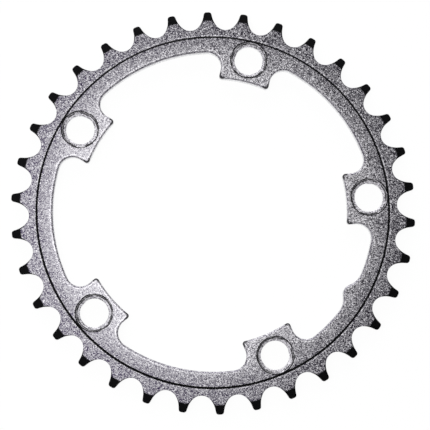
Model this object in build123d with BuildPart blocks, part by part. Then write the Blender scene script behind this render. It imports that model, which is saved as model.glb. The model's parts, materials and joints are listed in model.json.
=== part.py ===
"""Bicycle chainring: one machined aluminium plate with 34 teeth and five counterbored bolt tabs.

Millimetres and degrees. The back face, which seats on the crank spider, lies on z = 0. The ring's
axis is Z, the counterbored face looks up, and the alignment nub points inwards on the +X side.
"""

from build123d import *

import os
from math import acos, cos, radians, sin, sqrt, tan

# Teeth: roller seats on the pitch circle of a half-inch chain
tooth_count = 34
chain_pitch = 12.7
roller_seat_radius = 4.18
seat_half_angle = 45.0
flank_radius = 7.2
flank_lean = 10.5
tip_above_pitch = 2.28
tip_corner_break = 0.4
tip_bevel_length = 3.3
tip_thickness = 0.7
tooth_thickness = 2.0
first_tooth_angle = 6.41

# Body: a thicker band inside the teeth, with a sloping shoulder on both faces
body_thickness = 3.2
body_width = 5.8
shoulder_below_root = 2.49
shoulder_run = 0.6
profile_edge_break = 0.4

# Bolt holes in their tabs
bolt_circle_diameter = 110.0
bolt_count = 5
bolt_hole_diameter = 10.1
counterbore_diameter = 12.6
counterbore_depth = 1.3
hole_edge_break = 0.2
tab_side_wall = 2.65
tab_end_wall = 1.7
tab_corner_radius = 1.0
tab_root_radius = 5.0

# Alignment nub, midway between two tabs
nub_height = 2.9
nub_flank_angle = 34.0
nub_tip_radius = 3.4
nub_root_radius = 7.0

# Radii and angles that follow from the sizes above
half_tooth_angle = 180 / tooth_count
first_tab_angle = 180 / bolt_count
pitch_radius = chain_pitch / 2 / sin(radians(half_tooth_angle))
root_radius = pitch_radius - roller_seat_radius
tip_radius = pitch_radius + tip_above_pitch
bevel_start_radius = tip_radius - tip_bevel_length
shoulder_radius = root_radius - shoulder_below_root
shoulder_top_radius = shoulder_radius - shoulder_run
ring_inner_radius = shoulder_radius - body_width
bolt_circle_radius = bolt_circle_diameter / 2
bolt_hole_radius = bolt_hole_diameter / 2
counterbore_radius = counterbore_diameter / 2
tab_half_width = counterbore_radius + tab_side_wall
tab_inner_radius = bolt_circle_radius - counterbore_radius - tab_end_wall


def corners_at(vertices, radius, tolerance=1e-4):
    """Give the vertices that lie on a circle of this radius about the ring's axis."""
    return [vertex for vertex in vertices if abs(vertex.center().length - radius) < tolerance]


# One tooth on the X axis, from the bottom of one roller seat to the bottom of the next
seat_bottom = Vector(root_radius, 0).rotate(Axis.Z, -half_tooth_angle)
seat_direction = Vector(0, 1).rotate(Axis.Z, -half_tooth_angle)
flank_turn = 90 - seat_half_angle - half_tooth_angle - flank_lean

with BuildLine() as tooth:
    seat = JernArc(seat_bottom, seat_direction, roller_seat_radius, -seat_half_angle)
    flank = JernArc(seat @ 1, seat % 1, flank_radius, -flank_turn)
    flank_top = flank @ 1
    flank_direction = flank % 1
    along = flank_top.dot(flank_direction)
    run_to_tip = sqrt(along**2 + tip_radius**2 - flank_top.dot(flank_top)) - along
    Line(flank_top, flank_top + flank_direction * run_to_tip)
    mirror(about=Plane.XZ)
    tip_corners = corners_at(tooth.vertices(), tip_radius)
    ThreePointArc(tip_corners[0], (tip_radius, 0), tip_corners[1])
    chamfer(corners_at(tooth.vertices(), tip_radius), tip_corner_break)

# Bolt tab: parallel sides, an inner end that follows the ring, and rounded inner corners
tab_inner_corner = sqrt(tab_inner_radius**2 - tab_half_width**2)

with BuildSketch() as bolt_tab:
    with BuildLine():
        Polyline(
            (tab_inner_corner, tab_half_width),
            (shoulder_radius, tab_half_width),
            (shoulder_radius, -tab_half_width),
            (tab_inner_corner, -tab_half_width),
        )
        ThreePointArc(
            (tab_inner_corner, -tab_half_width),
            (tab_inner_radius, 0),
            (tab_inner_corner, tab_half_width),
        )
    make_face()
    fillet(bolt_tab.vertices().group_by(Axis.X)[0], tab_corner_radius)

# Alignment nub: a low peak on the ring's inner edge, with a rounded point
nub_round_loss = nub_tip_radius * (1 / cos(radians(nub_flank_angle)) - 1)
nub_point_radius = ring_inner_radius - nub_height - nub_round_loss
nub_half_width = (shoulder_radius - nub_point_radius) / tan(radians(nub_flank_angle))

with BuildSketch() as nub:
    with BuildLine():
        Polyline(
            (nub_point_radius, 0),
            (shoulder_radius, -nub_half_width),
            (shoulder_radius, nub_half_width),
            close=True,
        )
    make_face()
    fillet(nub.vertices().sort_by(Axis.X)[0], nub_tip_radius)

# Opening: a round hole, less the tabs and the nub, with their roots filleted. A tab root's fillet
# leaves at least an edge break's width of the tab's side straight.
tab_root_corner = sqrt(ring_inner_radius**2 - tab_half_width**2)
tab_root_half_angle = acos(tab_half_width / ring_inner_radius) / 2
tab_corner_half_angle = acos(tab_half_width / tab_inner_radius) / 2
tab_corner_run = tab_corner_radius / tan(tab_corner_half_angle)
tab_straight_side = tab_root_corner - tab_inner_corner - tab_corner_run
largest_tab_root = (tab_straight_side - profile_edge_break) * tan(tab_root_half_angle)

with BuildSketch() as opening:
    Circle(ring_inner_radius)
    with PolarLocations(0, bolt_count, start_angle=first_tab_angle):
        add(bolt_tab.sketch, mode=Mode.SUBTRACT)
    tab_roots = corners_at(opening.vertices(), ring_inner_radius)
    fillet(tab_roots, min(tab_root_radius, largest_tab_root))
    tab_root_ends = opening.vertices()
    add(nub.sketch, mode=Mode.SUBTRACT)
    nub_roots = corners_at(opening.vertices() - tab_root_ends, ring_inner_radius)
    fillet(nub_roots, nub_root_radius)

# Plan of the ring: the tooth repeated round the axis, and the opening taken out
with BuildSketch() as plan:
    with BuildLine():
        with PolarLocations(0, tooth_count, start_angle=first_tooth_angle):
            add(tooth.line)
    make_face()
    add(opening.sketch, mode=Mode.SUBTRACT)

# Heights of the section, which is the same on both faces
lower_tooth_face = (body_thickness - tooth_thickness) / 2
upper_tooth_face = lower_tooth_face + tooth_thickness
lower_tip_edge = (body_thickness - tip_thickness) / 2
upper_tip_edge = lower_tip_edge + tip_thickness
blank_inner_radius = tab_inner_radius / 2

# The ring: a turned blank cut to the plan, broken along the opening's front edge and counterbored
with BuildPart() as chainring:
    with BuildSketch(Plane.XZ):
        with BuildLine():
            Polyline(
                (blank_inner_radius, 0),
                (shoulder_top_radius, 0),
                (shoulder_radius, lower_tooth_face),
                (bevel_start_radius, lower_tooth_face),
                (tip_radius, lower_tip_edge),
                (tip_radius, upper_tip_edge),
                (bevel_start_radius, upper_tooth_face),
                (shoulder_radius, upper_tooth_face),
                (shoulder_top_radius, body_thickness),
                (blank_inner_radius, body_thickness),
                close=True,
            )
        make_face()
    revolve(axis=Axis.Z)
    extrude(plan.sketch, amount=body_thickness, mode=Mode.INTERSECT)
    front_face = chainring.faces().filter_by(Plane.XY).sort_by(Axis.Z)[-1]
    chamfer(front_face.inner_wires().edges(), profile_edge_break)

    with PolarLocations(bolt_circle_radius, bolt_count, start_angle=first_tab_angle):
        with Locations((0, 0, body_thickness)):
            CounterBoreHole(bolt_hole_radius, counterbore_radius, counterbore_depth)
            Cone(
                counterbore_radius,
                counterbore_radius + hole_edge_break,
                hole_edge_break,
                align=(Align.CENTER, Align.CENTER, Align.MAX),
                mode=Mode.SUBTRACT,
            )

chainring.part.label = "chainring"

os.makedirs("parts", exist_ok=True)
export_step(chainring.part, "parts/chainring.step")
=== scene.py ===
# %% [markdown]
# A bicycle chainring, seen from above.
#
# The object is one aluminium plate: turned, milled, drilled and blasted with glass beads. The solid
# model already has its form. This lesson makes the same plate again as one smooth, closed mesh with
# softened edges, gives it its grainy finish, and lights it like a product on a white table.

# %% Load the solid model as the fixed frame
import json

import bmesh
import bpy
import numpy as np
from mathutils import Matrix, Vector


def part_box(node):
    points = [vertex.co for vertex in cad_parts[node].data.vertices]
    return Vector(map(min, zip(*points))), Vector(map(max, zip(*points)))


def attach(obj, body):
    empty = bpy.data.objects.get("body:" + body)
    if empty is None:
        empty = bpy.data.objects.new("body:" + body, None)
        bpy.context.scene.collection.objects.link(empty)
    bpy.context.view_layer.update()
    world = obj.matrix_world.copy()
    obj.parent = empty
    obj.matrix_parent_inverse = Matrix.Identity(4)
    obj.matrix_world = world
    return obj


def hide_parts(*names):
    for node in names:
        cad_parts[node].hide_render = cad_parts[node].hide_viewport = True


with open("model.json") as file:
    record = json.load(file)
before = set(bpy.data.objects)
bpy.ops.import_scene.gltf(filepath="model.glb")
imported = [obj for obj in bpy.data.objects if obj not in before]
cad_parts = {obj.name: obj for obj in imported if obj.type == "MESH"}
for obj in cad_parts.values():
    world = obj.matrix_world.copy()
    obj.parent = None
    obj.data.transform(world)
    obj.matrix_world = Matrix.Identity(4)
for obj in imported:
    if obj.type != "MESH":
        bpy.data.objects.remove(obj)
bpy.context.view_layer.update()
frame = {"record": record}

# %% [markdown]
# Sizes. The solid model's record gives the bolt pattern and its box gives the thickness, so those are
# read from the frame. The other sizes are the plate's own, in millimetres and degrees. They could be
# measured on the solid's mesh, but this script lists them.

# %% Sizes of the plate, in millimetres and degrees
mm = 0.001
bolt_pattern = frame["record"]["mounts"][0]["dims"]
bolt_count = bolt_pattern["count"]
bolt_circle_radius = bolt_pattern["pcd_mm"] / 2
bolt_hole_radius = bolt_pattern["hole_r_mm"]
plate_low, plate_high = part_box("chainring")
body_thickness = (plate_high.z - plate_low.z) / mm
print("bolts:", bolt_count, "on a radius of", bolt_circle_radius, "mm")

tooth_count = 34
chain_pitch = 12.7
roller_seat_radius = 4.18
seat_half_angle = 45.0
flank_radius = 7.2
flank_lean = 10.5
tip_above_pitch = 2.28
tip_corner_round = 0.95
tip_bevel_length = 3.3
tip_thickness = 0.7
tooth_thickness = 2.0
first_tooth_angle = 6.41
shoulder_below_root = 2.49
shoulder_run = 0.6
body_width = 5.8

# %% Radii and heights that follow from the sizes
half_tooth = 180 / tooth_count
pitch_radius = chain_pitch / 2 / np.sin(np.radians(half_tooth))
root_radius = pitch_radius - roller_seat_radius
tip_radius = pitch_radius + tip_above_pitch
bevel_radius = tip_radius - tip_bevel_length
shoulder_foot_radius = root_radius - shoulder_below_root
shoulder_top_radius = shoulder_foot_radius - shoulder_run
ring_inner_radius = shoulder_foot_radius - body_width
middle_height = body_thickness / 2
tooth_face_height = middle_height + tooth_thickness / 2
bevel_slope = (tooth_thickness - tip_thickness) / 2 / tip_bevel_length
print("pitch, root and tip radius:", np.round([pitch_radius, root_radius, tip_radius], 2))

# %% [markdown]
# Lines in plan. A flat outline could be a Bezier curve, but its arcs would only be close to round. Here
# a point of the plan is a complex number, x + iy. Then a turn is a product, an arc is a centre plus a
# radius times a turning unit number, and numpy works out a whole arc at once. Each point also carries
# a unit normal that points into the metal, because the softened edges need to step inwards from it.


# %% Arcs and straight runs of an outline
def unit(degrees):
    """Give the unit complex number at an angle in degrees."""
    return np.exp(1j * np.radians(degrees))


def degrees_of(number):
    """Give the angle of a complex number in degrees."""
    return np.degrees(np.angle(number))


def arc(centre, radius, start, end, steps, hollow):
    """Give centre + radius * u, with u turning evenly from start to end.

    The metal lies outside a hollow arc, so +u points into it, and inside a round one, where -u does.
    """
    turning = unit(start + (end - start) * np.arange(steps) / steps)
    return np.stack([centre + radius * turning, turning if hollow else -turning])


def straight(start, end, steps, inward):
    """Give start + share * (end - start), with one normal all along."""
    share = np.arange(steps) / steps
    return np.stack([start + (end - start) * share, np.full(steps, inward)])


def slide_to(start, heading, radius):
    """Give the point start + s * heading, s > 0, that lies at this radius from the axis."""
    along = (start * np.conj(heading)).real
    return start + heading * (np.sqrt(along**2 + radius**2 - abs(start) ** 2) - along)


# %% [markdown]
# A tooth. The chain's roller sits in a round seat on the pitch circle. From there a hollow flank and a
# short straight run climb to the tip, whose corners are rounded. Half a tooth is drawn beside the X
# axis, mirrored to give the whole one, and the teeth are copies of it turned round the axis.

# %% Centres and angles of half a tooth
seat_start = 180 - half_tooth
seat_end = seat_start - seat_half_angle
seat_centre = pitch_radius * unit(-half_tooth)
flank_foot = seat_centre + roller_seat_radius * unit(seat_end)
flank_centre = flank_foot - flank_radius * unit(seat_end)
flank_normal = unit(90 + flank_lean)
flank_top = flank_centre + flank_radius * flank_normal
corner_start = flank_top + tip_corner_round * flank_normal
corner_centre = slide_to(corner_start, unit(flank_lean), tip_radius - tip_corner_round)
corner_end = degrees_of(corner_centre)
run_end = corner_centre - tip_corner_round * flank_normal
print("straight run of a flank:", round(abs(run_end - flank_top), 2), "mm")

# %% Outline of the toothed edge
seat_steps, flank_steps, run_steps, corner_steps, tip_steps = 6, 5, 3, 4, 2
half_outline = np.concatenate([
    arc(seat_centre, roller_seat_radius, seat_start, seat_end, seat_steps, hollow=True),
    arc(flank_centre, flank_radius, seat_end, 90 + flank_lean, flank_steps, hollow=True),
    straight(flank_top, run_end, run_steps, flank_normal),
    arc(corner_centre, tip_corner_round, flank_lean - 90, corner_end, corner_steps, hollow=False),
    arc(0, tip_radius, corner_end, 0, tip_steps, hollow=False),
], axis=1)
tip_point = np.array([[tip_radius], [-1]])
tooth = np.concatenate([half_outline, tip_point, np.conj(half_outline[:, :0:-1])], axis=1)
tooth_turns = unit(first_tooth_angle + 2 * half_tooth * np.arange(tooth_count))
outline, outline_normal = (tooth[:, None, :] * tooth_turns[:, None]).reshape(2, -1)
columns = outline.size
print("toothed edge:", columns, "points,", tooth.shape[1], "a tooth")

# %% [markdown]
# The opening. Five tabs reach inwards round the bolt holes, with parallel sides, rounded corners and
# wide fillets at their roots, and one low nub sits between two of them. A tab is drawn on the X axis
# and the stretch of ring between two tabs is drawn about the middle of the gap, each from its own
# middle outwards, then mirrored and turned into place. A tab and a gap meet half way round a fillet.

# %% Sizes of the tabs and the nub
counterbore_radius = 6.3
counterbore_depth = 1.3
tab_side_wall = 2.65
tab_end_wall = 1.7
tab_corner_round = 1.0
tab_root_round = 5.0
nub_height = 2.9
nub_flank_angle = 34.0
nub_tip_round = 3.4
nub_root_round = 7.0
fillet_middle = -45.0

tab_half_width = counterbore_radius + tab_side_wall
tab_inner_radius = bolt_circle_radius - counterbore_radius - tab_end_wall
tab_spacing = 360 / bolt_count
tab_turns = unit(tab_spacing * (np.arange(bolt_count) + 0.5))
gap_turns = unit(tab_spacing * (np.arange(bolt_count) + 1))
print("tabs:", 2 * tab_half_width, "mm wide, from a radius of", tab_inner_radius, "mm")

# %% Outline of a tab
corner_reach = tab_inner_radius + tab_corner_round
corner_offset = tab_half_width - tab_corner_round
tab_corner = np.sqrt(corner_reach**2 - corner_offset**2) + 1j * corner_offset
tab_corner_angle = degrees_of(tab_corner)
root_reach = ring_inner_radius - tab_root_round
root_offset = tab_half_width + tab_root_round
tab_root = np.sqrt(root_reach**2 - root_offset**2) + 1j * root_offset
tab_root_angle = degrees_of(tab_root)

tab_end_steps, tab_corner_steps, tab_side_steps, tab_fillet_steps = 14, 8, 10, 14
side_start = tab_corner + 1j * tab_corner_round
side_end = tab_root - 1j * tab_root_round
half_tab = np.concatenate([
    arc(0, tab_inner_radius, 0, tab_corner_angle, tab_end_steps, hollow=True),
    arc(tab_corner, tab_corner_round, 180 + tab_corner_angle, 90, tab_corner_steps, hollow=False),
    straight(side_start, side_end, tab_side_steps, -1j),
    arc(tab_root, tab_root_round, -90, fillet_middle, tab_fillet_steps, hollow=True),
], axis=1)
tab_end = tab_root + tab_root_round * unit(fillet_middle)
tab_ends = np.array([[tab_end], [unit(fillet_middle)]])
tab_line = np.concatenate([np.conj(tab_ends), np.conj(half_tab[:, :0:-1]), half_tab], axis=1)
print("tab:", tab_line.shape[1], "points")

# %% Half outlines of a plain gap and of the gap with the nub
gap_steps = 94
gap_fillet_steps = 16
gap_fillet_angle = tab_spacing / 2 - tab_root_angle
gap_fillet_end = tab_spacing / 2 - fillet_middle
gap_root = np.conj(tab_root) * unit(tab_spacing / 2)
gap_fillet = arc(gap_root, tab_root_round, gap_fillet_angle, gap_fillet_end, gap_fillet_steps, hollow=True)
half_gap = np.concatenate([
    arc(0, ring_inner_radius, 0, gap_fillet_angle, gap_steps - gap_fillet_steps, hollow=True),
    gap_fillet,
], axis=1)

nub_normal = unit(-nub_flank_angle)
nub_point = ring_inner_radius - nub_height - nub_tip_round * (1 / nub_normal.real - 1)
nub_tip_centre = nub_point + nub_tip_round / nub_normal.real
nub_tip_end = nub_tip_centre - nub_tip_round * nub_normal
nub_root_start = nub_tip_end - nub_root_round * nub_normal
nub_root = slide_to(nub_root_start, 1j * nub_normal, ring_inner_radius - nub_root_round)
nub_flank_end = nub_root + nub_root_round * nub_normal
nub_root_angle = degrees_of(nub_root)

nub_tip_steps, nub_flank_steps, nub_root_steps = 12, 14, 16
ring_steps = gap_steps - nub_tip_steps - nub_flank_steps - nub_root_steps - gap_fillet_steps
half_nub = np.concatenate([
    arc(nub_tip_centre, nub_tip_round, 180, 180 - nub_flank_angle, nub_tip_steps, hollow=False),
    straight(nub_tip_end, nub_flank_end, nub_flank_steps, nub_normal),
    arc(nub_root, nub_root_round, -nub_flank_angle, nub_root_angle, nub_root_steps, hollow=True),
    arc(0, ring_inner_radius, nub_root_angle, gap_fillet_angle, ring_steps, hollow=True),
    gap_fillet,
], axis=1)
print("half a gap:", half_gap.shape[1], "points, and with the nub:", half_nub.shape[1])


# %% The whole opening, as five tabs and five gaps in turn
def whole_gap(half):
    """Mirror half a gap and join both halves, from one tab's fillet to the next one's."""
    gap_end = np.conj(tab_ends) * unit(tab_spacing / 2)
    return np.concatenate([np.conj(gap_end), np.conj(half[:, :0:-1]), half], axis=1)


tabs = tab_line[:, None, :] * tab_turns[:, None]
gaps = np.stack([whole_gap(half_gap)] * (bolt_count - 1) + [whole_gap(half_nub)], axis=1)
gaps = gaps * gap_turns[:, None]
opening, opening_normal = np.concatenate([tabs, gaps], axis=2)
tab_columns = tabs.shape[2]
print("opening:", opening.size, "points,", tab_columns, "a tab")

# %% [markdown]
# Sections. Turned and milled edges are never quite sharp. A Bevel modifier could soften them, but it
# would treat all edges alike. Instead a section is a broken line whose corners get an arc each, of the
# radius that the tool left there, and the section is carried along its outline.


# %% Broken lines with rounded corners
def rounded(corners, radii, steps):
    """Replace each inner corner of a broken line by an arc.

    The arc starts radius * tan(turn / 2) before the corner and swings round by the whole turn.
    """
    corners = np.asarray(corners)
    radii = np.asarray(radii)
    heading = np.diff(corners)
    heading = heading / abs(heading)
    turning = np.angle(heading[1:] / heading[:-1])
    start = corners[1:-1] - heading[:-1] * radii * np.tan(abs(turning) / 2)
    swing = np.exp(1j * np.outer(turning, np.linspace(0, 1, steps + 1))) - 1
    arcs = start[:, None] + (heading[:-1] * radii / (1j * np.sign(turning)))[:, None] * swing
    return np.concatenate([corners[:1], arcs.ravel(), corners[-1:]])


# %% Section of the shoulder, as reach + i * height
shoulder_top_round = 0.07
shoulder_foot_round = 0.12
shoulder_top_margin = 0.035
shoulder_foot_margin = 0.2
face_edge_radius = shoulder_top_radius - shoulder_top_margin
shoulder = rounded(
    [
        face_edge_radius + 1j * body_thickness,
        shoulder_top_radius + 1j * body_thickness,
        shoulder_foot_radius + 1j * tooth_face_height,
        shoulder_foot_radius + shoulder_foot_margin + 1j * tooth_face_height,
    ],
    [shoulder_top_round, shoulder_foot_round],
    steps=2,
)
print("shoulder:", shoulder.size, "points")

# %% Section of the opening's edge, as distance into the metal + i * height
edge_break = 0.4
front_edge_round = 0.2
back_edge_round = 0.12
front_margin = 0.55
back_margin = 0.3
face_margin = 0.9
opening_edge = rounded(
    [
        front_margin + 1j * body_thickness,
        edge_break + 1j * body_thickness,
        1j * (body_thickness - edge_break),
        0j,
        back_margin + 0j,
    ],
    [front_edge_round, front_edge_round, back_edge_round],
    steps=3,
)
opening_edge = np.concatenate([[face_margin + 1j * body_thickness], opening_edge])
print("opening's edge:", opening_edge.size, "points")

# %% Section of a bolt hole, as distance from its axis + i * height
rim_break = 0.2
rim_margin = 0.01
hole_break = 0.25
hole_margin = 0.1
hole_corner_rounds = [0.015, 0.08, 0.15, 0.05, 0.05, 0.1, 0.1]
floor_height = body_thickness - counterbore_depth
bolt_hole = rounded(
    [
        counterbore_radius + rim_break + rim_margin + 1j * body_thickness,
        counterbore_radius + rim_break + 1j * body_thickness,
        counterbore_radius + 1j * (body_thickness - rim_break),
        counterbore_radius + 1j * floor_height,
        bolt_hole_radius + hole_break + 1j * floor_height,
        bolt_hole_radius + 1j * (floor_height - hole_break),
        bolt_hole_radius + 1j * hole_break,
        bolt_hole_radius + hole_break + 0j,
        bolt_hole_radius + hole_break + hole_margin + 0j,
    ],
    hole_corner_rounds,
    steps=2,
)
print("bolt hole:", bolt_hole.size, "points")

# %% [markdown]
# Sheets. Each surface is a grid: rows across it, columns along its outline. The rows of neighbouring
# sheets use the very same points, so welding equal points afterwards closes the plate. A sheet keeps a
# plan position and a height for each point, and how near it lies to a softened edge: 0 on the faces, 1
# on the edge itself and 2 round the corners of the tabs. The finish uses that later for the black that
# creeps down the teeth, and for painted shade and painted highlights along the edges.

# %% A list of sheets
sheets = []


def add_sheet(plan, height, closed, edge=0.0):
    """Keep a grid of points as x, y, z and edge, with the four corners of each of its cells."""
    grid = np.empty(plan.shape + (4,))
    grid[..., 0] = plan.real
    grid[..., 1] = plan.imag
    grid[..., 2] = height
    grid[..., 3] = edge
    number = np.arange(plan.size).reshape(plan.shape)
    if closed:
        number = np.concatenate([number, number[:, :1]], axis=1)
    cells = [number[:-1, :-1], number[:-1, 1:], number[1:, 1:], number[1:, :-1]]
    sheets.append((grid.reshape(-1, 4), np.stack(cells, axis=-1).reshape(-1, 4)))


# %% [markdown]
# The toothed rim. One sheet runs from the front face over the shoulder, across the tooth faces and tip
# bevels, round the outline's softened edge, down the wall and back the same way underneath. Inside the
# shoulder its columns stand at even angles; outside, they follow the outline. The tip bevel is a cone
# about the axis, so its height depends on the radius alone.


# %% Columns at even angles, one of them on a tab's axis
def face_height(radius):
    """Give the height of the front of a tooth: level up to the bevel, then falling evenly."""
    return tooth_face_height - bevel_slope * np.maximum(radius - bevel_radius, 0)


column_step = 360 / columns
start_angle = degrees_of(outline[0])
tab_axis_angle = tab_spacing / 2
even_start = tab_axis_angle - np.round((tab_axis_angle - start_angle) / column_step) * column_step
even_columns = unit(even_start + column_step * np.arange(columns))
print("columns:", columns, "from", round(even_start, 3), "degrees")

# %% Rows of the toothed rim
tooth_edge_round = 0.12
tooth_edge_band = 0.4
tooth_edge_rows = 4
wall_support = 0.1
bevel_rows = np.array([[-0.1], [0.0], [0.1]])
margin_rows = np.array([[0.18], [0.12], [0.06]])

roll = np.radians(np.linspace(0, 90, tooth_edge_rows))[:, None]
edge_plan = outline + outline_normal * tooth_edge_round * (1 - np.sin(roll))
edge_height = face_height(abs(outline)) - tooth_edge_round * (1 - np.cos(roll))
inset = outline + outline_normal * tooth_edge_band
bevel_reach = np.minimum(bevel_radius + bevel_rows, abs(inset) - margin_rows)
bevel_plan = inset / abs(inset) * bevel_reach
support_height = edge_height[-1:] - wall_support
print("rows from bevel to wall:", len(bevel_plan) + 1 + len(edge_plan) + 1)

# %% Toothed rim
face_plan = np.concatenate([shoulder.real[:, None] * even_columns, bevel_plan, inset[None]])
face_heights = np.concatenate([
    np.repeat(shoulder.imag[:, None], columns, axis=1),
    face_height(bevel_reach),
    face_height(abs(inset))[None],
])
front_plan = np.concatenate([face_plan, edge_plan, outline[None]])
front_height = np.concatenate([face_heights, edge_height, support_height])
front_edge = np.arange(len(front_plan)) >= len(face_plan)
rim_plan = np.concatenate([front_plan, front_plan[::-1]])
rim_height = np.concatenate([front_height, body_thickness - front_height[::-1]])
rim_edge = np.concatenate([front_edge, front_edge[::-1]])
add_sheet(rim_plan, rim_height, closed=True, edge=rim_edge[:, None])
print("toothed rim:", rim_plan.shape)

# %% [markdown]
# The opening's wall. Its section steps inwards from the outline by the normals: a broken front edge, a
# straight wall and a softened back edge.

# %% Wall of the opening
# These edge values place painted shade on the broken edge, a painted highlight on the face beside it, and
# darker painted shade round the tab corners.
shade_below_edge = 0.15
edge_foot = body_thickness - edge_break - shade_below_edge
face_edge_nearness = [0.3, 0.6]
tab_corner_shade_end = 1.5
tab_corner_shade_fade = 0.5

wall_normal = opening_normal.reshape(-1)
wall_plan = opening.reshape(-1) + opening_edge.real[:, None] * wall_normal
wall_edge = np.where(opening_edge.imag > edge_foot, 1.0, 0.0)
wall_edge[:2] = face_edge_nearness
corner_centres = np.concatenate([tab_corner * tab_turns, np.conj(tab_corner) * tab_turns])
corner_distance = abs(opening.reshape(-1, 1) - corner_centres).min(axis=1)
corner_share = np.clip((tab_corner_shade_end - corner_distance) / tab_corner_shade_fade, 0, 1)
wall_edge = wall_edge[:, None] * (1 + corner_share)
add_sheet(wall_plan, opening_edge.imag[:, None], closed=True, edge=wall_edge)
print("opening's wall:", wall_plan.shape)

# %% [markdown]
# Front and back face. A flat face with holes has no grid of its own. It could be one many-sided face,
# but that shades badly, so it is cut where grids fit: between two tabs, straight lines run from the
# opening to the shoulder, and round a bolt hole they run outwards from its rim like spokes.

# %% Borders of the flat faces
shares = np.array([0, 0.06, 0.94, 1])
sector_columns = columns // bolt_count
tab_half_columns = (sector_columns - gaps.shape[2]) // 2
tab_column = int(np.round((tab_axis_angle - even_start) / column_step))
face_circle = face_edge_radius * even_columns
hole_centres = bolt_circle_radius * tab_turns


def circle_part(sector, first, last):
    """Give the points of the face's outer circle, counted in columns from a tab's axis."""
    return face_circle[(tab_column + sector * sector_columns + np.arange(first, last + 1)) % columns]


def opening_part(section_row, sector):
    """Give the points of a tab, with the next gap's first one, and those of the gap after it."""
    loop = wall_plan[section_row].reshape(bolt_count, -1)
    gap_end = loop[(sector + 1) % bolt_count, 0]
    return loop[sector, : tab_columns + 1], np.append(loop[sector, tab_columns:], gap_end)


def tab_border(section_row, sector):
    """Go once round the face of a tab: along the circle, down to the opening, round the tab and back."""
    tab, _ = opening_part(section_row, sector)
    arch = circle_part(sector, -tab_half_columns, tab_half_columns)
    down = tab[-1] + (arch[-1] - tab[-1]) * shares[::-1]
    up = tab[0] + (arch[0] - tab[0]) * shares
    return np.concatenate([arch[:-1], down[:-1], tab[:0:-1], up[:-1]])


spokes = np.stack([tab_border(0, sector) for sector in range(bolt_count)]) - hole_centres[:, None]
spokes = spokes / abs(spokes)
print("spokes round a bolt hole:", spokes.shape[1])


# %% Flat faces and bolt holes
def flat_face(section_row, hole_row, height):
    """Fill a flat face, sector by sector: the gap after each tab, then the spokes round its hole."""
    for sector in range(bolt_count):
        _, gap = opening_part(section_row, sector)
        outer = circle_part(sector, tab_half_columns, sector_columns - tab_half_columns)
        add_sheet(gap + (outer - gap) * shares[:, None], height, closed=False)
        border = tab_border(section_row, sector)
        rim = hole_centres[sector] + bolt_hole[hole_row].real * spokes[sector]
        add_sheet(rim + (border - rim) * shares[:, None], height, closed=True)


flat_face(0, 0, body_thickness)
flat_face(-1, -1, 0.0)
for sector in range(bolt_count):
    hole_plan = hole_centres[sector] + bolt_hole.real[:, None] * spokes[sector]
    add_sheet(hole_plan, bolt_hole.imag[:, None], closed=True)
print("sheets:", len(sheets))

# %% [markdown]
# Welding. The sheets meet in equal points, so keeping each point once joins them into one closed mesh.
# A Merge by Distance would do it too; numpy does it on the whole list and keeps each point's edge value
# beside it. A second value, the distance from the nearest bolt hole's axis, is worked out here as well.

# %% Points and cells of the whole plate
weld = 1e-5
counts = [grid.shape[0] for grid, _ in sheets]
starts = np.concatenate([[0], np.cumsum(counts)[:-1]])
points = np.concatenate([grid for grid, _ in sheets])
quads = np.concatenate([cells + start for (_, cells), start in zip(sheets, starts)])
rounded_points = np.round(points[:, :3] / weld)
_, first, merged = np.unique(rounded_points, axis=0, return_index=True, return_inverse=True)
points = points[first]
quads = merged.reshape(-1)[quads]
hole_distance = abs(points[:, :1] + 1j * points[:, 1:2] - hole_centres).min(axis=1)
print("welded", sum(counts), "points into", len(points))

# %% One closed mesh
mesh = bpy.data.meshes.new("chainring_plate")
mesh.from_pydata((points[:, :3] * mm).tolist(), [], quads.tolist())
for name, values in (("soft_edge", points[:, 3]), ("hole_reach", hole_distance)):
    attribute = mesh.attributes.new(name, "FLOAT", "POINT")
    attribute.data.foreach_set("value", values.astype(np.float32))
mesh.validate()
closed_mesh = bmesh.new()
closed_mesh.from_mesh(mesh)
bmesh.ops.recalc_face_normals(closed_mesh, faces=closed_mesh.faces)
open_edges = sum(not edge.is_manifold for edge in closed_mesh.edges)
volume = closed_mesh.calc_volume() / mm**3
closed_mesh.to_mesh(mesh)
closed_mesh.free()
mesh.shade_smooth()
print("plate:", len(mesh.vertices), "points,", len(mesh.polygons), "faces,", open_edges, "open edges")
print("volume in cubic millimetres:", round(volume, 1))

# %% The plate, in the solid model's place
plate = bpy.data.objects.new("chainring_plate", mesh)
bpy.context.scene.collection.objects.link(plate)
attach(plate, "root")
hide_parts("chainring")
print("piece:", plate.name)

# %% [markdown]
# Shader sums. A node tree is easier to read as a formula than as a picture, so one small class wraps a
# node's output. Plain arithmetic on wrapped values adds Math nodes; any other node comes from one
# method, which sets the node's choices first and then fills or links its inputs.


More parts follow.
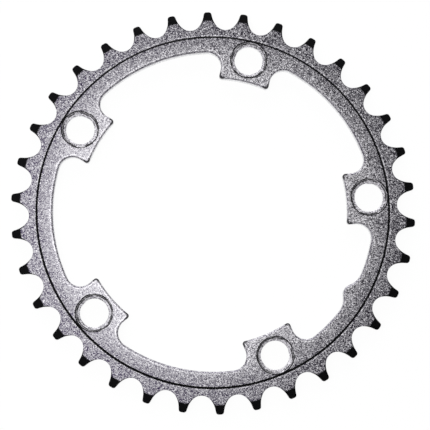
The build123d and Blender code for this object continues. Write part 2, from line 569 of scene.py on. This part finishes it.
# %% Values that flow through a node tree
class Value:
    """An output of a node. Arithmetic with numbers or other values adds a Math node to the same tree."""

    def __init__(self, tree, socket):
        self.tree = tree
        self.socket = socket

    @classmethod
    def node(cls, tree, kind, settings, inputs, output=0):
        """Add a node of this kind, set its choices, fill or link its inputs, and wrap one output."""
        made = tree.nodes.new(kind)
        for name, choice in settings.items():
            setattr(made, name, choice)
        for name, given in inputs.items():
            if isinstance(given, cls):
                tree.links.new(given.socket, made.inputs[name])
            else:
                made.inputs[name].default_value = given
        return cls(tree, made.outputs[output])

    def math(self, operation, *others):
        """Add a Math node with this value as its first input."""
        inputs = dict(enumerate((self,) + others))
        return self.node(self.tree, "ShaderNodeMath", {"operation": operation}, inputs)

    def step(self, low, high):
        """Rise smoothly from 0 at low to 1 at high."""
        inputs = {"Value": self, "From Min": low, "From Max": high}
        return self.node(self.tree, "ShaderNodeMapRange", {"interpolation_type": "SMOOTHSTEP"}, inputs)

    def larger(self, other):
        """Give the larger of two values, which joins two masks."""
        return self.math("MAXIMUM", other)

    def smaller(self, other):
        """Give the smaller of two values."""
        return self.math("MINIMUM", other)

    def __add__(self, other):
        return self.math("ADD", other)

    def __mul__(self, other):
        return self.math("MULTIPLY", other)

    def __sub__(self, other):
        return self.math("SUBTRACT", other)

    def __rsub__(self, other):
        return (self * -1) + other

    __radd__ = __add__
    __rmul__ = __mul__


# %% A new, empty material
def new_material(name):
    """Make a material with its shader node and output, and give it with its tree and shader."""
    material = bpy.data.materials.new(name)
    material.use_nodes = True
    shader = material.node_tree.nodes["Principled BSDF"]
    return material, material.node_tree, shader


# %% [markdown]
# Places on the plate. A finish can be masked by painted weights, but here each mask is a distance: from
# the ring's axis, from the nearest bolt hole's axis, or from a softened edge. The first comes from Object
# coordinates, the other two from the mesh's own values, and the normal tells walls from faces.

# %% Distances that the finish is masked by
blasted, tree, shader = new_material("blasted_aluminium")
place = Value.node(tree, "ShaderNodeTexCoord", {}, {}, "Object")
normal = Value.node(tree, "ShaderNodeNewGeometry", {}, {}, "Normal")


def part_of(vector, axis):
    """Give one coordinate of a vector."""
    return Value.node(tree, "ShaderNodeSeparateXYZ", {}, {"Vector": vector}, axis)


def stored(name):
    """Give a value that the mesh keeps for each of its points."""
    return Value.node(tree, "ShaderNodeAttribute", {"attribute_name": name}, {}, "Fac")


def reach(right, up):
    """Give the length of a vector in plan, in millimetres."""
    return (right * right + up * up).math("SQRT") * (1 / mm)


line_shift_x = 0.087
line_shift_y = 0.146
wall_slope = 0.3
face_slope = 0.6
across = part_of(place, "X")
along = part_of(place, "Y")
radius = reach(across, along)
line_radius = reach(across + line_shift_x * mm, along + line_shift_y * mm)
height = part_of(place, "Z") * (1 / mm)
wall = 1 - part_of(normal, "Z").math("ABSOLUTE").step(wall_slope, face_slope)
soft_edge = stored("soft_edge")
hole_reach = stored("hole_reach")
print("distances:", len(tree.nodes), "nodes")


# %% [markdown]
# The finish. Glass beads leave a grey skin of tiny dents, some catching the light and some not, so the
# metal looks like salt and pepper. A noise could give the speckle, but its blotches run into each other;
# a Voronoi texture gives each dent its own cell with its own shade. The skin is darker towards the teeth.


# %% Textures, blends and bands
def noise(size, detail, vector=place):
    """Give a noise whose blotches are about this many millimetres wide."""
    inputs = {"Vector": vector, "Scale": 1 / (size * mm), "Detail": detail}
    return Value.node(tree, "ShaderNodeTexNoise", {}, inputs, "Fac")


def dents(size):
    """Split the skin into cells of about this many millimetres; give each one's shade and its hollow."""
    inputs = {"Vector": place, "Scale": 1 / (size * mm)}
    hollow = Value.node(tree, "ShaderNodeTexVoronoi", {}, inputs, "Distance")
    return part_of(Value(tree, hollow.socket.node.outputs["Color"]), "X"), hollow


def mix(factor, low, high):
    """Blend two colours by a factor from 0 to 1."""
    inputs = {"Factor": factor, 6: low, 7: high}
    return Value.node(tree, "ShaderNodeMix", {"data_type": "RGBA"}, inputs, 2)


def band(value, low, high, soft):
    """Give 1 between low and high and 0 outside, with sides that take twice this softness."""
    return value.step(low - soft, low + soft) * (1 - value.step(high - soft, high + soft))


def stronger(value, gain):
    """Spread a value about one half: (value - 0.5) * gain + 0.5."""
    return (value - 0.5) * gain + 0.5


# %% Salt and pepper of the blasted skin
dent_size = 0.25
tooth_tone = 0.445
tone_rise = 0.0085
body_tone = 0.002
body_rise = 0.017
body_easing = 0.0008
body_fade = 0.5

grain, dent_hollow = dents(dent_size)
inside = 1 - radius.step(shoulder_top_radius - body_fade, shoulder_top_radius)
inward = shoulder_top_radius - radius
tone = tooth_tone + inward * tone_rise
tone = tone + inside * (inward * (body_rise - inward * body_easing) + body_tone)
print("dents of", dent_size, "mm")

# %% [markdown]
# Tool marks. A turning tool leaves rings on the floor of a counterbore, and a milling cutter leaves
# upright lines on a wall. A Wave texture could draw both, but far too evenly. Instead a noise is
# squeezed along the way that the tool went, which draws its blotches out into long marks.

# %% Rings in the counterbores and upright lines on the walls
mark_width = 0.4
mark_detail = 2.0
ring_squeeze = 0.2
ring_gain = 3
line_squeeze = 0.05
line_gain = 2.5

ring_space = Value.node(tree, "ShaderNodeCombineXYZ", {}, {
    "X": hole_reach * mm,
    "Y": across * ring_squeeze,
    "Z": along * ring_squeeze,
})
turned = stronger(noise(mark_width, mark_detail, ring_space), ring_gain)
line_space = Value.node(tree, "ShaderNodeCombineXYZ", {}, {
    "X": across,
    "Y": along,
    "Z": height * (line_squeeze * mm),
})
streaks = stronger(noise(mark_width, mark_detail, line_space), line_gain)
print("tool marks of", mark_width, "mm")

# %% [markdown]
# Black places and painted shade. The tooth tips and the rims of the counterbores are nearly black, and
# the black creeps down the edges of a tooth. The dark line on the shoulder is painted shade of its step,
# and the dark corners of the tabs are painted shade too. A counterbore has a crisp ring round its rim, a
# broken one inside it, which is painted shade in the corner of its floor, and fainter rings on its floor,
# darker towards the wall, which is painted shade as well. The shoulder's line lies a little off the axis.
# Masks for this could be painted, but bands of the distances are sharp at any size, and a little noise in
# the distance makes them ragged.

# %% Black tips, and painted shade on the shoulder line and the tab corners
ragged_size = 0.5
ragged_detail = 2.0
ragged_depth = 0.7
tip_creep = 1.6
tip_fade = 0.25
line_ragged = 0.3
line_inner_side = shoulder_top_radius - 0.1
line_outer_side = shoulder_foot_radius + 0.08
line_fade = 0.07
tab_corner_from, tab_corner_to = 1.0, 1.8
tab_corner_shade_depth = 0.8

ragged = (noise(ragged_size, ragged_detail) - 0.5) * ragged_depth
tips = radius + soft_edge * tip_creep + ragged
tips = tips.step(bevel_radius - tip_fade, bevel_radius + tip_fade)
# The dark line on the shoulder is painted shade of its step.
line = band(line_radius + ragged * line_ragged, line_inner_side, line_outer_side, line_fade)
# The dark mark on the corners of the tabs is painted shade.
painted_tab_corner_shade = soft_edge.step(tab_corner_from, tab_corner_to) * inside * tab_corner_shade_depth
# This near-black mask holds the black tips, and further on the rims and tool rings, together with painted
# shade.
black_and_painted_shade = tips.larger(line).larger(painted_tab_corner_shade)
print("black from a radius of", round(bevel_radius, 2), "mm")

# %% Rim of a counterbore, darker and lighter by turns
ring_ragged = 0.25
ring_fade = 0.04
rim_width = 0.4
rim_black = 0.46
rim_more_black = 0.5
rim_patch = 3.0
rim_patch_low, rim_patch_high = 0.33, 0.43
patch_detail = 1.0

ring = hole_reach + ragged * ring_ragged
rim = band(ring, counterbore_radius, counterbore_radius + rim_width, ring_fade)
rim = rim * height.step(body_thickness - 0.3, body_thickness - 0.2)
rim_patches = noise(rim_patch, patch_detail).step(rim_patch_low, rim_patch_high)
rim = rim * (rim_black + rim_patches * rim_more_black)
black_and_painted_shade = black_and_painted_shade.larger(rim)
print("rim of", rim_width, "mm")

# %% Rings on a counterbore's floor, with painted shade in its corner
floor_corner_shade_low = counterbore_radius - 0.45
floor_corner_shade_high = counterbore_radius - 0.1
floor_patch = 2.5
floor_patch_low, floor_patch_high = 0.4, 0.5
floor_corner_shade_lean = 0.2
groove_low, groove_high = 0.75, 1.0
groove_black = 0.6
floor_black = 0.85

bore = 1 - hole_reach.step(counterbore_radius + 0.02, counterbore_radius + 0.05)
bore = bore * height.step(floor_height - 0.4, floor_height - 0.2)
bore_outward = hole_reach.step(bolt_hole_radius + hole_break, counterbore_radius)
# This inner ring is painted shade in the corner where the floor meets the wall.
painted_floor_corner_shade = band(ring, floor_corner_shade_low, floor_corner_shade_high, ring_fade)
painted_floor_corner_shade = painted_floor_corner_shade * noise(floor_patch, patch_detail).step(floor_patch_low, floor_patch_high)
# The tool rings are the real marks; leaning them outwards darkens the floor towards the wall, which is
# painted shade.
grooves_and_floor_corner_shade = (turned + bore_outward * floor_corner_shade_lean).step(groove_low, groove_high) * groove_black
grooves_and_floor_corner_shade = grooves_and_floor_corner_shade.larger(painted_floor_corner_shade) * bore
grooves_and_floor_corner_shade = grooves_and_floor_corner_shade * (1 - height.step(floor_height + 0.1, floor_height + 0.25))
black_and_painted_shade = black_and_painted_shade.larger(grooves_and_floor_corner_shade * floor_black)
print("masks of the cuts:", len(tree.nodes), "nodes so far")

# %% [markdown]
# Light and dark. The skin gets a painted highlight beside the shoulder's line and just inside the
# opening's edge, and painted shade along the softened edges of the opening and of the teeth. The tool
# that cut the shoulder also pushed up a low lip beside it, which is kept for the bump. The counterbores
# are turned bright. The walls are bare, milled metal, but near the front they take the darker blasted
# colour, which is painted shade. The rest only moves one tone up or down before the dents are added to it.

# %% Painted highlights and painted shade along the shoulder and the edges
shoulder_highlight_gain = 0.11
edge_highlight_gain = 0.13
edge_shade_loss = 0.12
tooth_edge_shade_loss = 0.1
bore_tone = 0.72
shoulder_highlight_fade = 0.12
edge_highlight_from, edge_highlight_to, edge_highlight_fade = 0.1, 0.55, 0.1
edge_shade_from, edge_shade_to = 0.7, 0.95
tooth_edge_shade_from, tooth_edge_shade_to = 0.3, 0.9

# A painted highlight just outside the shoulder's line, beside the lip that the bump raises.
painted_shoulder_highlight = band(line_radius, shoulder_foot_radius + 0.2, shoulder_foot_radius + 0.6, shoulder_highlight_fade)
lip = line_radius.step(shoulder_foot_radius + 0.1, shoulder_foot_radius + 0.7)
# A painted highlight on the face just inside the opening's softened edge.
painted_edge_highlight = band(soft_edge, edge_highlight_from, edge_highlight_to, edge_highlight_fade) * inside
# Painted shade on the softened edges of the opening and of the teeth.
painted_edge_shade = soft_edge.step(edge_shade_from, edge_shade_to) * inside
painted_tooth_edge_shade = soft_edge.step(tooth_edge_shade_from, tooth_edge_shade_to) * (1 - inside)
tone = tone + painted_shoulder_highlight * shoulder_highlight_gain + painted_edge_highlight * edge_highlight_gain
tone = tone - painted_edge_shade * edge_shade_loss - painted_tooth_edge_shade * tooth_edge_shade_loss
tone = tone * (1 - bore) + bore * bore_tone
print("tone:", len(tree.nodes), "nodes so far")

# %% Shade of each dent, and the share of bare metal on a wall
tooth_speckle = 0.82
body_calm = 0.12
edge_calm = 0.1
sparkle_start = 0.92
sparkle_gain = 0.1
darkest, lightest = 0.1, 0.95
wall_shade_low, wall_shade_high = 1.4, 2.9
wall_shade_share = 0.7

speckle = tooth_speckle - inside * body_calm - painted_edge_shade * edge_calm
shade = tone + (grain - 0.5) * speckle + grain.step(sparkle_start, 1.0) * sparkle_gain
shade = shade.larger(darkest).smaller(lightest)
# Towards the front the wall takes the darker blasted colour instead of bare metal, which is painted shade.
milled = wall * (1 - bore) * (1 - height.step(wall_shade_low, wall_shade_high) * wall_shade_share)
print("shade from", darkest, "to", lightest)

# %% [markdown]
# The metal. The shade is squared, which suits the eye, and blends a nearly black violet into a pale
# one. A bright dent is also a rough one: it spreads the light, so the speckle keeps its contrast on the
# dark side of the ring and doesn't glare on the bright side. The opening's wall is a brighter grey than
# the walls of the teeth. The black places and the painted shade are rougher, so that they stay dark
# from low down as well. The dents and the lip also bend the surface a little.

# %% Colour
dark_violet = (0.01, 0.004, 0.025, 1)
pale_violet = (0.945, 0.932, 0.962, 1)
dull_grey = (0.3, 0.3, 0.31, 1)
bright_grey = (0.96, 0.96, 0.98, 1)
deep_black = (0.003, 0.003, 0.0035, 1)
grainy_black = (0.012, 0.012, 0.013, 1)
streak_share = 0.6
opening_wall_lift = 0.4

blasted_colour = mix(shade * shade, dark_violet, pale_violet)
milled_colour = mix(streaks * streak_share + inside * opening_wall_lift, dull_grey, bright_grey)
black_and_shade_colour = mix(grain, deep_black, grainy_black)
# The near-black colour covers the black tips, rims and tool rings, and also the painted shade.
colour = mix(black_and_painted_shade, mix(milled, blasted_colour, milled_colour), black_and_shade_colour)
tree.links.new(colour.socket, shader.inputs["Base Color"])
print("colour:", len(tree.nodes), "nodes so far")

# %% Roughness and bump
skin_roughness = 0.385
body_roughness = 0.035
grain_roughness = 0.5
milled_polish = 0.15
bore_roughness = 0.2
black_and_shade_roughness = 0.35
lip_rise = 2.2

roughness = skin_roughness + inside * body_roughness + (grain - 0.5) * grain_roughness
roughness = roughness - milled * milled_polish + bore * bore_roughness + black_and_painted_shade * black_and_shade_roughness
bump = Value.node(tree, "ShaderNodeBump", {}, {
    "Strength": 0.4,
    "Distance": 0.05 * mm,
    "Height": dent_hollow * (1 - black_and_painted_shade.larger(milled)) + lip * lip_rise,
})
tree.links.new(roughness.socket, shader.inputs["Roughness"])
tree.links.new(bump.socket, shader.inputs["Normal"])
shader.inputs["Metallic"].default_value = 1.0
plate.data.materials.append(blasted)
print("finish:", blasted.name, len(tree.nodes), "nodes")

# %% [markdown]
# The camera. It looks almost straight down, from a hand's breadth off the axis, with a long lens. Its
# tilt, turn and place were found by fitting the tooth tips to the photograph, pixel by pixel.

# %% Camera
picture_turn = 31.155
camera_tilt = Vector((-0.097358, 0.022918, 0.0))
camera_shift = Vector((-0.4429, 1.7146, -438.677)) * mm
focus_point = Vector((0.0, 0.0, tooth_face_height)) * mm
lens_millimetres = 104.65

picture_to_plate = Matrix.Rotation(np.radians(picture_turn), 3, "Z")
tilt = Matrix.Rotation(camera_tilt.length, 3, camera_tilt)
camera_turn = picture_to_plate @ tilt.transposed()
camera_place = focus_point - camera_turn @ camera_shift
camera_data = bpy.data.cameras.new("camera")
camera_data.lens = lens_millimetres
camera_data.sensor_width = 36.0
camera_data.clip_start = 0.01
camera = bpy.data.objects.new("camera", camera_data)
camera.matrix_world = Matrix.Translation(camera_place) @ camera_turn.to_4x4()
bpy.context.scene.collection.objects.link(camera)
bpy.context.scene.camera = camera
print("camera at", [round(value, 3) for value in camera_place])

# %% [markdown]
# The table. It is white to the camera and in the metal's reflections, but it is lit by the lamps for
# every other ray, and a share of that light is left in what the camera sees, so the shadow stays. From
# below it is clear, like a pane of glass, so that the back of the ring can be looked at as well.

# %% Floor
floor_size = 3.0
floor_gap = 0.05 * mm
corners = np.array([[-1, -1], [1, -1], [1, 1], [-1, 1]]) * floor_size / 2
floor_mesh = bpy.data.meshes.new("floor")
floor_mesh.from_pydata([(x, y, plate_low.z - floor_gap) for x, y in corners.tolist()], [], [(0, 1, 2, 3)])
floor = bpy.data.objects.new("floor", floor_mesh)
bpy.context.scene.collection.objects.link(floor)
print("floor:", floor_size, "metres wide")

# %% White table
white_share = 0.95
table_top, tree, shader = new_material("white_table")
shader.inputs["Base Color"].default_value = (0.9, 0.9, 0.9, 1)
shader.inputs["Roughness"].default_value = 0.9
camera_ray, glossy_ray, transmission_ray = (
    Value.node(tree, "ShaderNodeLightPath", {}, {}, name)
    for name in ("Is Camera Ray", "Is Glossy Ray", "Is Transmission Ray")
)
seen = camera_ray.larger(glossy_ray).larger(transmission_ray)
white = Value.node(tree, "ShaderNodeEmission", {}, {"Color": (1, 1, 1, 1), "Strength": 1.0})
lit = Value(tree, shader.outputs[0])
table = Value.node(tree, "ShaderNodeMixShader", {}, {0: seen * white_share, 1: lit, 2: white})
from_below = Value.node(tree, "ShaderNodeNewGeometry", {}, {}, "Backfacing")
clear = Value.node(tree, "ShaderNodeBsdfTransparent", {}, {})
shown = Value.node(tree, "ShaderNodeMixShader", {}, {0: from_below, 1: table, 2: clear})
tree.links.new(shown.socket, tree.nodes["Material Output"].inputs["Surface"])
floor_mesh.materials.append(table_top)
print("table:", table_top.name, len(tree.nodes), "nodes")

# %% [markdown]
# The lamps. A soft box hangs to the left of the picture, so the left of the ring is brighter than the
# right. A second one, long and low, stands beyond the top of the picture and draws the edges that face
# it. The studio fills in the rest: its walls are as white as the table, and its ceiling is dim.


# %% Lamps
def soft_box(name, right, up, height, width, depth, power):
    """Hang a lamp, placed in metres by the picture's right and up and the height, facing the ring."""
    data = bpy.data.lights.new(name, "AREA")
    data.shape = "RECTANGLE"
    data.size = width
    data.size_y = depth
    data.energy = power
    lamp = bpy.data.objects.new(name, data)
    spot = picture_to_plate @ Vector((right, up, height))
    lamp.matrix_world = Matrix.Translation(spot) @ spot.to_track_quat("Z", "Y").to_matrix().to_4x4()
    bpy.context.scene.collection.objects.link(lamp)
    return lamp


lamps = [
    soft_box("key", right=-0.19, up=-0.025, height=0.42, width=0.4, depth=0.4, power=1.45),
    soft_box("strip", right=-0.15, up=1.3, height=0.4, width=2.0, depth=0.6, power=20.0),
]
print("lamps:", [lamp.name for lamp in lamps])

# %% Surroundings
wall_top, ceiling_middle = 0.2, 0.9
ceiling_loss = 0.76
world = bpy.data.worlds.new("studio")
bpy.context.scene.world = world
world.use_nodes = True
tree = world.node_tree
background = tree.nodes["Background"]
direction = Value.node(tree, "ShaderNodeTexCoord", {}, {}, "Generated")
steepness = part_of(direction, "Z")
brightness = 1 - steepness.step(wall_top, ceiling_middle) * ceiling_loss
background.inputs["Color"].default_value = (1, 1, 1, 1)
tree.links.new(brightness.socket, background.inputs["Strength"])
bpy.context.scene.view_settings.view_transform = "Standard"
print("studio:", len(tree.nodes), "nodes")
